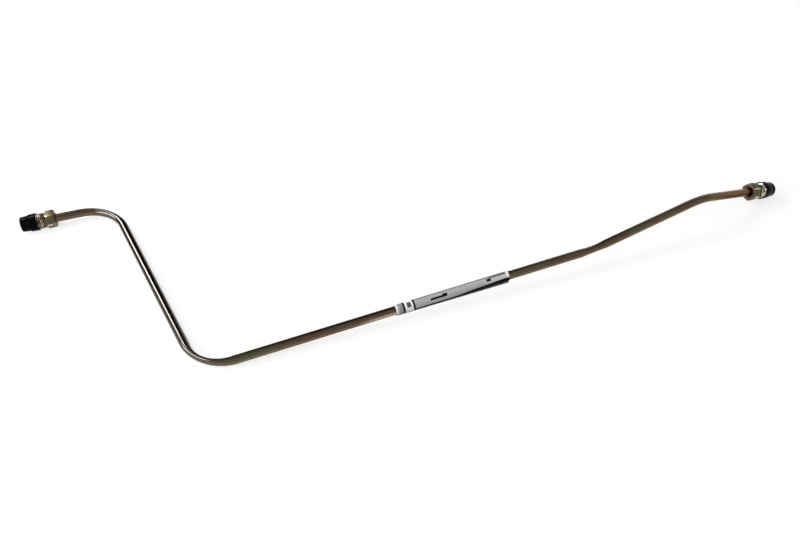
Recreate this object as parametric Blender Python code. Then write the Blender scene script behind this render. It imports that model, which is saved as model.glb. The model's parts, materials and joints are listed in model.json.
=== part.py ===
"""A formed steel brake pipe, with a tube nut and a push-on dust cap on each end.

The pipe is one piece of 3/16 inch tube. It is described as a pipe bender reads it: straight legs
between corners, the bend at each corner, and the twist of each leg that turns the next bend out of
the plane of the one before. Each end is folded into an inverted double flare. A tube nut is trapped
behind each flare, turns freely on the pipe and carries a cap over its thread. A printed label is
wrapped round the long leg. The whole lies on the floor on three points: the left fitting, the second
bend and the right cap.
"""

import math

import bmesh
import bpy
from mathutils import Matrix, Vector

MM = 0.001
UP = Vector((0.0, 0.0, 1.0))

# Facets: edges that turn more than the crease angle stay sharp
ROUND_STEPS = 4
CREASE_ANGLE = 30.0

# Pipe
TUBE_DIAMETER = 4.76 * MM
TUBE_WALL = 0.71 * MM
TUBE_SIDES = 24
RING_SPACING = 2.0 * MM
FEWEST_BEND_STEPS = 4

# Route: the legs run from the left end to the right end, corner to corner
LEGS = (47.7 * MM, 135.1 * MM, 220.7 * MM, 73.6 * MM, 54.1 * MM)
BENDS = (-77.9, 78.0, 7.6, -20.0)
TWISTS = (4.2, 42.6, 39.4)
BEND_RADII = (23.8 * MM, 22.4 * MM, 120.0 * MM, 46.0 * MM)
# How much each bend squeezes the tube across its plane, and how much it swells along its axis
FLATTENING = (0.18, 0.40, 0.16, 0.06)
SWELLING = (0.04, 0.06, 0.09, 0.02)
FIRST_LEG_HEADING = 19.9
# How often the lowest points are found anew while the pipe is laid on the floor
SETTLING_ROUNDS = 20

# Inverted double flare, with depths from the tip of the pipe
FLARE_DIAMETER = 7.1 * MM
FLARE_LIP_DEPTH = 0.95 * MM
FLARE_LIP_ROUND = 0.5 * MM
FLARE_LAND = 0.3 * MM

# Tube nut: its blank is turned a little wider than the corners that its flats leave
NUT_ACROSS_FLATS = 9.3 * MM
NUT_BLANK_ALLOWANCE = 0.2 * MM
NUT_HEX_LENGTH = 5.0 * MM
NUT_FACE_DIAMETER = 8.9 * MM
NUT_CHAMFER_ANGLE = 30.0
# The shank stands for the thread at its middle diameter
NUT_SHANK_LENGTH = 8.9 * MM
NUT_SHANK_DIAMETER = 8.7 * MM
NUT_NECK_DIAMETER = 7.9 * MM
NUT_NECK_LENGTH = 0.9 * MM
NUT_TIP_CHAMFER = 0.5 * MM
NUT_BORE_CHAMFER = 0.35 * MM
NUT_BORE_CLEARANCE = 0.3 * MM
SEAT_CLEARANCE = 0.3 * MM
SEAT_MOUTH_CLEARANCE = 0.3 * MM
NUT_SIDES = 48

# Dust cap, with the mark of the moulding gate in its closed end
CAP_LENGTH = 9.05 * MM
CAP_WALL = 0.5 * MM
CAP_SKIRT_LENGTH = 4.2 * MM
CAP_SHOULDER_LENGTH = 0.8 * MM
CAP_ENGAGEMENT = 4.3 * MM
CAP_CLEARANCE = 0.3 * MM
CAP_SKIRT_TAPER = 0.1 * MM
CAP_NOSE_DIAMETER = 9.2 * MM
CAP_TIP_DIAMETER = 8.7 * MM
CAP_EDGE_ROUND = 0.5 * MM
CAP_RIM_ROUND = 0.15 * MM
GATE_DIMPLE_DIAMETER = 2.4 * MM
GATE_DIMPLE_FLOOR_DIAMETER = 1.9 * MM
GATE_DIMPLE_DEPTH = 0.25 * MM
CAP_SIDES = 32

# Label, wrapped once round the long leg, overlapping itself, with a free edge that lifts to the right
LABEL_START = 103.5 * MM
LABEL_LENGTH = 64.5 * MM
LABEL_THICKNESS = 0.15 * MM
LABEL_CLEARANCE = 0.27 * MM
LABEL_LAYER_GAP = 0.12 * MM
LABEL_EDGE_LIFT = 0.55 * MM
# Angles round the leg: the overlap, the climb on to it, and where the free edge lies
LABEL_OVERLAP = 50.0
LABEL_CLIMB = 40.0
LABEL_EDGE_DIRECTION = -38.0
LABEL_SIDES = 30
LABEL_RINGS = 9

# Finishes: colour, metallic value and roughness
CHROMATED_STEEL = ((0.20, 0.16, 0.11), 0.9, 0.35)
NUT_PLATING = ((0.32, 0.25, 0.14), 0.9, 0.30)
CAP_PLASTIC = ((0.012, 0.012, 0.013), 0.0, 0.30)
LABEL_FOIL = ((0.42, 0.42, 0.43), 0.0, 0.40)


def tube_radius():
    return TUBE_DIAMETER / 2


def bore_radius():
    return TUBE_DIAMETER / 2 - TUBE_WALL


def quarter_round(radius):
    """Cosine and sine offsets of a quarter round of this radius, from one side to the other"""
    angles = [math.pi / 2 * step / ROUND_STEPS for step in range(ROUND_STEPS + 1)]
    return [(radius * math.cos(angle), radius * math.sin(angle)) for angle in angles]


class Station:
    """A place on the pipe's centre line, with the frame that carries its section"""

    def __init__(self, position, frame, across=None, weight=0.0, bend=0):
        self.position = position
        self.frame = frame
        self.across = across or frame.col[1]
        self.flattening = FLATTENING[bend] * weight
        self.swelling = SWELLING[bend] * weight
        self.bend = bend

    @property
    def heading(self):
        return self.frame.col[0]

    @property
    def along(self):
        return self.heading.cross(self.across)

    def half_sizes(self):
        """Half the section's size across the bend's plane and along the bend's axis"""
        return tube_radius() * (1 - self.flattening), tube_radius() * (1 + self.swelling)

    def ring(self, radius, depth=0.0):
        """The section's points at a radius, a depth further along the heading"""
        centre = self.position + self.heading * depth
        squeeze = self.flattening * tube_radius() / radius
        swell = self.swelling * tube_radius() / radius
        points = []
        for side in range(TUBE_SIDES):
            angle = 2 * math.pi * side / TUBE_SIDES
            arm = radius * (math.cos(angle) * self.frame.col[1] + math.sin(angle) * self.frame.col[2])
            arm -= squeeze * arm.dot(self.across) * self.across
            arm += swell * arm.dot(self.along) * self.along
            points.append(centre + arm)
        return points


def walk_route():
    """The stations of the centre line, from the left end to the right end, and its corners"""
    frame = Matrix.Identity(3)
    bend_axis = UP.copy()
    corner = Vector((0.0, 0.0, 0.0))
    corners = [corner.copy()]
    stations = [Station(corner.copy(), frame.copy())]
    for index, leg in enumerate(LEGS):
        heading = frame.col[0].copy()
        corner = corner + heading * leg
        corners.append(corner.copy())
        if index == len(BENDS):
            stations.append(Station(corner.copy(), frame.copy()))
            break
        bend = math.radians(BENDS[index])
        radius = BEND_RADII[index]
        start = corner - heading * radius * math.tan(abs(bend) / 2)
        inward = bend_axis.cross(heading) * math.copysign(1.0, bend)
        centre = start + inward * radius
        steps = max(FEWEST_BEND_STEPS, math.ceil(abs(bend) * radius / RING_SPACING))
        for step in range(steps + 1):
            share = step / steps
            turn = Matrix.Rotation(bend * share, 3, bend_axis)
            position = centre + turn @ (start - centre)
            across = (turn @ inward).normalized()
            weight = math.sin(math.pi * share)
            stations.append(Station(position, turn @ frame, across, weight, index))
        frame = Matrix.Rotation(bend, 3, bend_axis) @ frame
        if index < len(TWISTS):
            bend_axis = Matrix.Rotation(math.radians(TWISTS[index]), 3, frame.col[0]) @ bend_axis
    return stations, corners


def flare_back_depth():
    """The depth at which the back of the flare runs out into the plain tube"""
    return FLARE_LIP_DEPTH + FLARE_LAND + FLARE_DIAMETER / 2 - tube_radius()


def flare_profile():
    """Radius and depth of the folded end, from the plain tube over the lip to the bore"""
    lip = FLARE_DIAMETER / 2
    seat = lip - FLARE_LIP_ROUND
    profile = [(tube_radius(), flare_back_depth()), (lip, FLARE_LIP_DEPTH + FLARE_LAND)]
    for outward, rise in quarter_round(1.0):
        profile.append((seat + FLARE_LIP_ROUND * outward, FLARE_LIP_DEPTH * (1 - rise)))
    profile.append((bore_radius(), seat - bore_radius()))
    return profile


def loft(rings, name):
    """A closed mesh from rings of equal length, the last joined to the first"""
    mesh = bpy.data.meshes.new(name)
    shape = bmesh.new()
    rows = [[shape.verts.new(point) for point in ring] for ring in rings]
    for row, after in zip(rows, rows[1:] + rows[:1]):
        for side in range(len(row)):
            other = (side + 1) % len(row)
            shape.faces.new((row[side], row[other], after[other], after[side]))
    bmesh.ops.recalc_face_normals(shape, faces=shape.faces)
    shape.to_mesh(mesh)
    shape.free()
    return mesh


def turned(profile, sides, name, closed):
    """A solid of revolution about Z from (radius, height) points; a radius of 0 is a pole"""
    mesh = bpy.data.meshes.new(name)
    shape = bmesh.new()
    rows = []
    for radius, height in profile:
        if radius == 0:
            rows.append([shape.verts.new((0.0, 0.0, height))] * sides)
            continue
        angles = [2 * math.pi * side / sides for side in range(sides)]
        rows.append([shape.verts.new((radius * math.cos(a), radius * math.sin(a), height)) for a in angles])
    pairs = list(zip(rows, rows[1:]))
    if closed:
        pairs.append((rows[-1], rows[0]))
    for row, after in pairs:
        for side in range(sides):
            other = (side + 1) % sides
            corners = dict.fromkeys((row[side], row[other], after[other], after[side]))
            shape.faces.new(tuple(corners))
    bmesh.ops.recalc_face_normals(shape, faces=shape.faces)
    shape.to_mesh(mesh)
    shape.free()
    return mesh


def make_finish(name, colour, metallic, roughness):
    finish = bpy.data.materials.new(name)
    finish.use_nodes = True
    shader = finish.node_tree.nodes["Principled BSDF"]
    shader.inputs["Base Color"].default_value = (*colour, 1.0)
    shader.inputs["Metallic"].default_value = metallic
    shader.inputs["Roughness"].default_value = roughness
    return finish


def add_piece(name, mesh, parent, finish):
    """A named object with its own finish, shaded smooth up to the crease angle"""
    piece = bpy.data.objects.new(name, mesh)
    bpy.context.scene.collection.objects.link(piece)
    piece.parent = parent
    mesh.materials.append(make_finish(name + "_finish", *finish))
    mesh.shade_smooth()
    mesh.set_sharp_from_angle(angle=math.radians(CREASE_ANGLE))
    return piece


def make_pipe(stations, parent):
    """The tube with its bends and both flares, hollow from end to end"""
    left, right = stations[0], stations[-1]
    profile = flare_profile()
    outside = [left.ring(radius, depth) for radius, depth in reversed(profile)]
    outside += [station.ring(tube_radius()) for station in stations[1:-1]]
    outside += [right.ring(radius, -depth) for radius, depth in profile]
    inside = [station.ring(bore_radius()) for station in reversed(stations[1:-1])]
    return add_piece("pipe", loft(outside + inside, "pipe"), parent, CHROMATED_STEEL)


def nut_profile():
    """The nut before its flats are cut, as radius and height; the tip of the pipe is at height 0"""
    blank = NUT_ACROSS_FLATS / math.sqrt(3) + NUT_BLANK_ALLOWANCE
    face = NUT_FACE_DIAMETER / 2
    bevel = (blank - face) * math.tan(math.radians(NUT_CHAMFER_ANGLE))
    shank = NUT_SHANK_DIAMETER / 2
    neck = NUT_NECK_DIAMETER / 2
    bore = tube_radius() + NUT_BORE_CLEARANCE
    mouth = FLARE_DIAMETER / 2 + SEAT_MOUTH_CLEARANCE
    front, hex_front, back = nut_heights()
    seat_foot = -seat_foot_depth()
    return [
        (mouth, front),
        (shank - NUT_TIP_CHAMFER, front),
        (shank, front - NUT_TIP_CHAMFER),
        (shank, hex_front + NUT_NECK_LENGTH + (shank - neck)),
        (neck, hex_front + NUT_NECK_LENGTH),
        (neck, hex_front),
        (face, hex_front),
        (blank, hex_front - bevel),
        (blank, back + bevel),
        (face, back),
        (bore + NUT_BORE_CHAMFER, back),
        (bore, back + NUT_BORE_CHAMFER),
        (bore, seat_foot),
        (mouth, seat_foot + mouth - bore),
    ]


def seat_foot_depth():
    """The depth at which the nut's 45 degree seat meets its bore, just behind the flare"""
    behind_flare = flare_back_depth() - NUT_BORE_CLEARANCE
    return behind_flare + SEAT_CLEARANCE / math.cos(math.radians(45))


def nut_heights():
    """Heights of the nut's front face, the front of its hexagon and its back face"""
    mouth = FLARE_DIAMETER / 2 + SEAT_MOUTH_CLEARANCE
    bore = tube_radius() + NUT_BORE_CLEARANCE
    front = -seat_foot_depth() + (mouth - bore) + FLARE_LAND / 2
    hex_front = front - NUT_SHANK_LENGTH
    return front, hex_front, hex_front - NUT_HEX_LENGTH


def make_hexagon_cutter(parent):
    """The bar that the nut is turned from, with one pair of flats square to X"""
    length = 2 * (NUT_HEX_LENGTH + NUT_SHANK_LENGTH)
    mesh = bpy.data.meshes.new("hexagon_bar")
    shape = bmesh.new()
    # The first corner is on Y, so two flats are square to X
    corner = NUT_ACROSS_FLATS / math.sqrt(3)
    bmesh.ops.create_cone(shape, cap_ends=True, segments=6, radius1=corner, radius2=corner, depth=length)
    shape.to_mesh(mesh)
    shape.free()
    bar = bpy.data.objects.new("hexagon_bar", mesh)
    bpy.context.scene.collection.objects.link(bar)
    bar.parent = parent
    bar.location = (0.0, 0.0, nut_heights()[1])
    bar.hide_render = True
    bar.display_type = "WIRE"
    return bar


def make_nut(name, end):
    nut = add_piece(name, turned(nut_profile(), NUT_SIDES, name, True), end, NUT_PLATING)
    flats = nut.modifiers.new("flats", "BOOLEAN")
    flats.operation = "INTERSECT"
    flats.object = make_hexagon_cutter(end)
    return nut


def cap_profile():
    """The cap from the middle of its closed end, over the outside and the rim, to the inside"""
    front = nut_heights()[0]
    rim = front - CAP_ENGAGEMENT
    tip = rim + CAP_LENGTH
    shoulder_foot = rim + CAP_SKIRT_LENGTH
    shoulder_top = shoulder_foot + CAP_SHOULDER_LENGTH
    inside = NUT_SHANK_DIAMETER / 2 + CAP_CLEARANCE
    rim_outside = inside + CAP_WALL
    skirt_top = rim_outside - CAP_SKIRT_TAPER
    nose = CAP_NOSE_DIAMETER / 2
    end = CAP_TIP_DIAMETER / 2
    dimple_floor = tip - GATE_DIMPLE_DEPTH
    floor = dimple_floor - CAP_WALL
    profile = [
        (0, dimple_floor),
        (GATE_DIMPLE_FLOOR_DIAMETER / 2, dimple_floor),
        (GATE_DIMPLE_DIAMETER / 2, tip),
    ]
    for rise, outward in quarter_round(CAP_EDGE_ROUND):
        profile.append((end - CAP_EDGE_ROUND + outward, tip - CAP_EDGE_ROUND + rise))
    profile += [
        (nose, shoulder_top),
        (skirt_top, shoulder_foot),
        (rim_outside, rim + CAP_RIM_ROUND),
        (rim_outside - CAP_RIM_ROUND, rim),
        (inside + CAP_RIM_ROUND, rim),
        (inside, rim + CAP_RIM_ROUND),
        (inside, shoulder_foot),
        (nose - CAP_WALL, shoulder_top),
        (end - CAP_WALL, floor + CAP_EDGE_ROUND),
        (end - CAP_WALL - CAP_EDGE_ROUND, floor),
        (0, floor),
    ]
    return profile


def make_cap(name, end):
    return add_piece(name, turned(cap_profile(), CAP_SIDES, name, False), end, CAP_PLASTIC)


def ease(value):
    """A smooth step from 0 to 1"""
    value = min(max(value, 0.0), 1.0)
    return value * value * (3 - 2 * value)


def label_section(share):
    """The label's outline at a share of its length: its inside, then its outside back again

    A point is a radius and a direction round the leg, from the leg's right-hand side upwards.
    """
    inner = tube_radius() + LABEL_CLEARANCE
    layer = LABEL_THICKNESS + LABEL_LAYER_GAP
    sweep = 360.0 + LABEL_OVERLAP
    lift = LABEL_EDGE_LIFT * ease(share)
    steps = round(LABEL_SIDES * sweep / 360)
    near, far = [], []
    for step in range(steps + 1):
        angle = sweep * step / steps
        radius = inner + layer * ease((angle - (360 - LABEL_CLIMB)) / LABEL_CLIMB)
        radius += lift * ease((angle - 360) / LABEL_OVERLAP)
        direction = math.radians(angle - sweep + LABEL_EDGE_DIRECTION)
        near.append((radius, direction))
        far.append((radius + LABEL_THICKNESS, direction))
    return near + far[::-1]


def label_mesh():
    """The wrapped label, with X along the leg and Z up"""
    mesh = bpy.data.meshes.new("label")
    shape = bmesh.new()
    rows = []
    for ring in range(LABEL_RINGS):
        share = ring / (LABEL_RINGS - 1)
        along = LABEL_LENGTH * share
        rows.append([shape.verts.new((along, -radius * math.cos(direction), radius * math.sin(direction)))
                     for radius, direction in label_section(share)])
    count = len(rows[0])
    for row, after in zip(rows, rows[1:]):
        for side in range(count):
            other = (side + 1) % count
            shape.faces.new((row[side], row[other], after[other], after[side]))
    for row in (rows[0], rows[-1]):
        for step in range(count // 2 - 1):
            shape.faces.new((row[step], row[step + 1], row[count - 2 - step], row[count - 1 - step]))
    bmesh.ops.recalc_face_normals(shape, faces=shape.faces)
    shape.to_mesh(mesh)
    shape.free()
    return mesh


def make_label(corner, next_corner, parent):
    """The label on the leg between two corners, a set length after the first"""
    forward = (next_corner - corner).normalized()
    left = UP.cross(forward).normalized()
    label = add_piece("label", label_mesh(), parent, LABEL_FOIL)
    turn = Matrix((forward, left, forward.cross(left))).transposed().to_4x4()
    label.matrix_local = Matrix.Translation(corner + forward * LABEL_START) @ turn
    return label


def touching_point(support, up):
    """The lowest point of a support, for a direction that counts as up

    A support is an oval: its centre, its two axes and half its size along each.
    """
    centre, first, second, half_first, half_second = support
    pull = half_first ** 2 * up.dot(first) * first + half_second ** 2 * up.dot(second) * second
    reach = math.sqrt((half_first * up.dot(first)) ** 2 + (half_second * up.dot(second)) ** 2)
    return centre - pull / reach


def fitting_supports(tip, outward, first, second):
    """The edges of a fitting that may touch the floor; first and second are square to outward"""
    front, hex_front, back = nut_heights()
    rim = front - CAP_ENGAGEMENT
    rim_radius = NUT_SHANK_DIAMETER / 2 + CAP_CLEARANCE + CAP_WALL
    flats = NUT_ACROSS_FLATS / 2
    nose_edge = rim + CAP_LENGTH - CAP_EDGE_ROUND
    edges = ((rim, rim_radius), (nose_edge, CAP_TIP_DIAMETER / 2), (hex_front, flats), (back, flats))
    return [(tip + outward * height, first, second, radius, radius) for height, radius in edges]


def laid_on_floor(stations):
    """The turn that lays the pipe on three points, with its first leg on its heading"""
    left, right = stations[0], stations[-1]
    second_bend = [station for station in stations[1:-1] if station.bend == 1]
    groups = (
        fitting_supports(left.position, -left.heading, left.frame.col[1], left.frame.col[2]),
        [(s.position, s.across, s.along, *s.half_sizes()) for s in second_bend],
        fitting_supports(right.position, right.heading, right.frame.col[1], right.frame.col[2]),
    )
    up = UP.copy()
    for _ in range(SETTLING_ROUNDS):
        feet = [min((touching_point(support, up) for support in group), key=up.dot) for group in groups]
        normal = (feet[1] - feet[0]).cross(feet[2] - feet[0]).normalized()
        up = normal if normal.dot(up) > 0 else -normal
    level = up.rotation_difference(UP).to_matrix()
    first_leg = level @ left.heading
    heading = math.radians(FIRST_LEG_HEADING) - math.atan2(first_leg.y, first_leg.x)
    return Matrix.Rotation(heading, 3, "Z") @ level


def end_empty(name, tip, outward, parent):
    """An empty at the tip of the pipe, with Z outward along the leg and X as near up as can be"""
    empty = bpy.data.objects.new(name, None)
    bpy.context.scene.collection.objects.link(empty)
    empty.parent = parent
    lift = outward.cross(UP).cross(outward).normalized()
    turn = Matrix((lift, outward.cross(lift), outward)).transposed().to_4x4()
    empty.matrix_local = Matrix.Translation(tip) @ turn
    return empty


def centre_on_floor(root, pieces):
    """Moves the whole so that its box stands on the floor with the origin under its middle"""
    bpy.context.view_layer.update()
    finished = bpy.context.evaluated_depsgraph_get()
    corners = [piece.matrix_world @ vertex.co
               for piece in pieces for vertex in piece.evaluated_get(finished).data.vertices]
    low = Vector([min(corner[axis] for corner in corners) for axis in range(3)])
    high = Vector([max(corner[axis] for corner in corners) for axis in range(3)])
    root.location = (-(low.x + high.x) / 2, -(low.y + high.y) / 2, -low.z)


def clear_scene():
    for item in list(bpy.data.objects):
        bpy.data.objects.remove(item, do_unlink=True)


def main():
    clear_scene()
    root = bpy.data.objects.new("brake_line", None)
    bpy.context.scene.collection.objects.link(root)
    stations, corners = walk_route()
    turn = laid_on_floor(stations)
    for station in stations:
        station.position = turn @ station.position
        station.frame = turn @ station.frame
        station.across = turn @ station.across
    corners = [turn @ corner for corner in corners]
    pieces = [make_pipe(stations, root), make_label(corners[2], corners[3], root)]
    first, last = stations[0], stations[-1]
    for side, tip, outward in (("left", first.position, -first.heading),
                               ("right", last.position, last.heading)):
        end = end_empty(side + "_end", tip, outward, root)
        pieces += [make_nut(side + "_tube_nut", end), make_cap(side + "_cap", end)]
    centre_on_floor(root, pieces)


main()
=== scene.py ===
"""The looks of a formed steel brake pipe, its tube nuts, dust caps and wrapped label.

The pipe is walked again as a bender reads it, and laid between the two ends that the frame gives.
"""

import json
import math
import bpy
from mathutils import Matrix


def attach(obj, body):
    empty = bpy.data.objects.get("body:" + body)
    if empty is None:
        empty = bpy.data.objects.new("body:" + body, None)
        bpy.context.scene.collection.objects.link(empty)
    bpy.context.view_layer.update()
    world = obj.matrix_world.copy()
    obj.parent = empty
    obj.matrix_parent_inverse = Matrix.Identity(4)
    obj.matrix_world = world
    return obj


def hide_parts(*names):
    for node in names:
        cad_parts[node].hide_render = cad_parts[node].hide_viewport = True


bl_info = {
    "name": "Brake line",
    "version": (1, 0, 0),
    "blender": (4, 5, 0),
    "location": "3D View > Sidebar > Brake line",
    "description": "Builds a formed brake pipe with its fittings, caps and label",
    "category": "Add Mesh",
}

import bmesh
import bpy
from bpy.props import FloatProperty, FloatVectorProperty, IntProperty, PointerProperty
from mathutils import Matrix, Vector

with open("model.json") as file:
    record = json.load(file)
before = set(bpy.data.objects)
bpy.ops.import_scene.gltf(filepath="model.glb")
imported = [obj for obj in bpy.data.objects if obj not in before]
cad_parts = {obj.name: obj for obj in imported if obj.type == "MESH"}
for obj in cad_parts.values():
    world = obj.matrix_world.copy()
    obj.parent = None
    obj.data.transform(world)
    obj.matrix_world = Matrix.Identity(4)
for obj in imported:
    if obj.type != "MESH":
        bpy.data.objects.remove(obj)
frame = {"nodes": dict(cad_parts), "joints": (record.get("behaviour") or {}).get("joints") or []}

MM = 0.001
FULL_TURN = 360.0
UP = Vector((0.0, 0.0, 1.0))
SIDES = ("left", "right")
ROUND_STEPS = 8
WELD_DISTANCE = 0.001 * MM
HAIR = 0.02 * MM

# Route of the pipe, from the left end to the right end, corner to corner
LEGS = (47.7 * MM, 135.1 * MM, 220.7 * MM, 73.6 * MM, 54.1 * MM)
BENDS = (-77.9, 78.0, 7.6, -20.0)
TWISTS = (4.2, 42.6, 39.4)
BEND_RADII = (23.8 * MM, 22.4 * MM, 120.0 * MM, 46.0 * MM)
FLATTENING = (0.18, 0.40, 0.16, 0.06)
SWELLING = (0.04, 0.06, 0.09, 0.02)
LABELLED_LEG = 2
BORE_RING_STEP = 3

# Inverted double flare, with depths from the tip of the pipe
FLARE_DIAMETER = 7.1 * MM
FLARE_LIP_DEPTH = 0.95 * MM
FLARE_LIP_ROUND = 0.5 * MM
FLARE_LAND = 0.3 * MM

# Fittings
NUT_ACROSS_FLATS = 9.3 * MM
NUT_BLANK_ALLOWANCE = 0.2 * MM
NUT_FACE_DIAMETER = 8.9 * MM
NUT_HEX_LENGTH = 5.0 * MM
NUT_CHAMFER_ANGLE = 30.0
NUT_NECK_DIAMETER = 7.9 * MM
NUT_NECK_LENGTH = 0.9 * MM
NUT_BORE_CLEARANCE = 0.3 * MM
NUT_BORE_CHAMFER = 0.35 * MM
NUT_MOUTH_DIAMETER = 7.7 * MM
THREAD_ROWS_PER_PITCH = 18
THREAD_CREST_SHARE = 0.12
THREAD_ROOT_SHARE = 0.80
CAP_SKIRT_LENGTH = 4.2 * MM
CAP_SHOULDER_LENGTH = 0.8 * MM
CAP_RIM_DIAMETER = 10.3 * MM
CAP_SKIRT_TAPER = 0.1 * MM
CAP_NOSE_DIAMETER = 9.2 * MM
CAP_TIP_DIAMETER = 8.7 * MM
CAP_MARK_DEPTH = 0.25 * MM

# Label, with directions in degrees round its leg from the right-hand side upwards
LABEL_THICKNESS = 0.15 * MM
LABEL_CLEARANCE = 0.27 * MM
LABEL_LAYER_GAP = 0.12 * MM
LABEL_OVERLAP = 50.0
LABEL_SWEEP = FULL_TURN + LABEL_OVERLAP
LABEL_CLIMB = 40.0
LABEL_EDGE_DIRECTION = -38.0
LABEL_EDGE_LIFT = 0.55 * MM

# Film on the tube. An olive patch has its centre in mm from the left end, half its length in mm and
# its share. A stretch goes along the tube from the left end, a band goes round it in shares of a
# turn, and both have a start, an end and a softness. The rust is measured from the right end
FILM_RAGGEDNESS = 26 * MM
OLIVE_PATCHES = ((198, 18, 0.9), (345, 12, 0.4), (421, 9, 0.9), (441, 8, 0.6), (476, 12, 0.7))
# Painted shade: along this stretch, the falling leg, the film is darker and more neutral, standing
# in for the dark reflections down its sides
PAINTED_SHADE_STRETCH = (39 * MM, 178 * MM, 14 * MM)
# Painted reflection: a pale band round the underside of the long leg beside the label
PAINTED_SHEEN_STRETCH = (256 * MM, 300 * MM, 16 * MM)
PAINTED_SHEEN_BAND = (0.41, 0.53, 0.05)
PAINTED_SHEEN_SHARE = 0.8
RUST_START = 56 * MM
RUST_FULL = 30 * MM
# The film is darker round the underside of the right arm, fading in with the rust
DARK_UNDERSIDE_BAND = (0.41, 0.80, 0.06)

# Light crests and corners on the nuts are partly real wear and partly painted highlights: how far
# they reach from a crest and from a corner, and the heights between which they fade in on the
# shank, from the tip of the pipe
CREST_WEAR_AND_GLINT = 0.20 * MM
CORNER_WEAR_AND_GLINT = 0.35 * MM
SHANK_START = (-10.2 * MM, -10.0 * MM)

# Printed fields of the label: start and end in mm along it, bottom and top in degrees round it,
# softness of the edges in mm, and then a share of the paper's colour, or None for white
ALL_ROUND = (-60.0, 170.0)
FIELD_EDGE = 0.25
FIELD_EDGE_DEGREES_PER_MM = 14
PRINTED_FIELDS = (
    (0.0, 0.9, *ALL_ROUND, 0.4, None),
    (1.8, 4.2, *ALL_ROUND, 2.0, 0.62),
    (4.9, 9.6, *ALL_ROUND, FIELD_EDGE, None),
    (6.1, 8.4, 40.0, 102.0, 0.8, 0.20),
    (10.4, 66.0, 106.0, 126.0, FIELD_EDGE, 0.35),
    (11.2, 40.0, 84.0, 90.0, FIELD_EDGE, 0.75),
    (50.5, 64.5, 40.0, 76.0, 2.0, 1.25),
    (53.0, 63.0, 86.0, 112.0, 1.5, 0.30),
    (63.2, 64.8, 34.0, 130.0, 0.8, None),
)
INKED_FIELDS = (
    (3.8, 4.9, *ALL_ROUND, 0.3),
    (9.4, 10.5, *ALL_ROUND, 0.3),
    (19.2, 28.4, 42.0, 64.0, FIELD_EDGE),
    (26.0, 28.6, 46.0, 78.0, 0.5),
    (51.4, 54.0, 56.0, 88.0, 0.8),
)
# Rises of the top of the black painted shadow along the label's lower side: start and end in mm
# along the label, and the climb in degrees
SHADOW_START = (9.5, 10.5)
SHADOW_RISES = ((30.0, 47.0, 2.0, 24.0), (44.0, 64.0, 0.0, 14.0))

# Stage. A black card has its centre, width, height and the point it faces, and a lit strip its
# start, end, width and the point it faces
FLOOR_SIDE = 6.0
FLAGS = {
    "back_flag": ((-0.29, 0.95, 0.68), 0.92, 1.32, (-0.29, 0.0, 0.68)),
    "side_flag": ((-1.12, 0.42, 0.19), 0.50, 0.36, (-0.14, 0.0, 0.19)),
}
FALLING_LEG = (-0.138, -0.010, 0.003)
RIGHT_RUNS = (0.15, 0.05, 0.01)
SOFTBOXES = {
    "high": ((-0.832, 0.355, 0.615), (-0.570, 0.520, 0.700), 0.34, FALLING_LEG),
    "low": ((-1.15, 0.02, 0.44), (-0.78, -0.86, 0.44), 0.46, FALLING_LEG),
    "right": ((0.22, 0.95, 0.34), (0.95, 0.80, 0.34), 0.66, RIGHT_RUNS),
}
BRIGHTER_WAY = (0.60, -0.75, -0.20)
CAMERA_PLACE = (-3.21 * MM, -252.79 * MM)
CAMERA_TILT = 40.0


def colour_setting(name, description, colour):
    return FloatVectorProperty(name=name, description=description, default=colour, size=3,
                               min=0.0, max=1.0, subtype="COLOR")


def size_setting(name, description, size):
    return FloatProperty(name=name, description=description, default=size, min=0.0, unit="LENGTH")


def share_setting(name, description, share, most=1.0):
    return FloatProperty(name=name, description=description, default=share, min=0.0, max=most)


class PipeSettings(bpy.types.PropertyGroup):
    diameter: size_setting("Diameter", "Outside diameter of the tube", 4.76 * MM)
    wall: size_setting("Wall", "Wall thickness of the tube", 0.71 * MM)
    ring_spacing: size_setting("Ring spacing", "Distance between rings in a bend", 0.6 * MM)
    sides: IntProperty(name="Sides", description="Faces round the tube", default=64, min=8)
    brown: colour_setting("Brown film", "Colour of most of the film", (0.145, 0.096, 0.058))
    olive: colour_setting("Olive film", "Colour of the greenish patches", (0.140, 0.132, 0.072))
    # Film colour of the falling leg, darker and more neutral as painted shade
    painted_shade_film: colour_setting("Thin film", "Colour of the nearly bare leg", (0.098, 0.093, 0.085))
    rust: colour_setting("Rust film", "Colour of the film by the right nut", (0.285, 0.152, 0.072))
    # Colour round the underside of the right arm, darker than the rust
    dark_underside: colour_setting("Deep rust", "Colour under the right arm", (0.060, 0.021, 0.005))
    # Colour of a painted reflection: the pale band under the long leg beside the label
    painted_sheen: colour_setting("Rubbed film", "Colour of the rubbed streak", (0.430, 0.335, 0.240))
    roughness: share_setting("Roughness", "Roughness of the tube", 0.17)


class NutSettings(bpy.types.PropertyGroup):
    pitch: size_setting("Pitch", "Pitch of the thread, 24 to the inch", 25.4 * MM / 24)
    crest_diameter: size_setting("Crest diameter", "Outside diameter of the thread", 9.2 * MM)
    thread_depth: size_setting("Thread depth", "Depth of the thread", 0.56 * MM)
    edge_softness: size_setting("Edge softness", "Width of the rounded edges", 0.09 * MM)
    sides: IntProperty(name="Sides", description="Faces round the nut", default=96, min=12)
    brown: colour_setting("Brown film", "Colour of most of the plating", (0.125, 0.088, 0.054))
    olive: colour_setting("Olive film", "Colour of the greenish patches", (0.115, 0.120, 0.045))
    # Colour of the light crests and corners: partly real wear, partly painted highlights
    worn_and_glint: colour_setting("Worn metal", "Colour of the crests and corners", (0.880, 0.770, 0.630))
    roughness: share_setting("Roughness", "Roughness of the film on the plating", 0.42)
    shine: share_setting("Worn roughness", "Roughness of the worn metal", 0.15)


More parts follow.
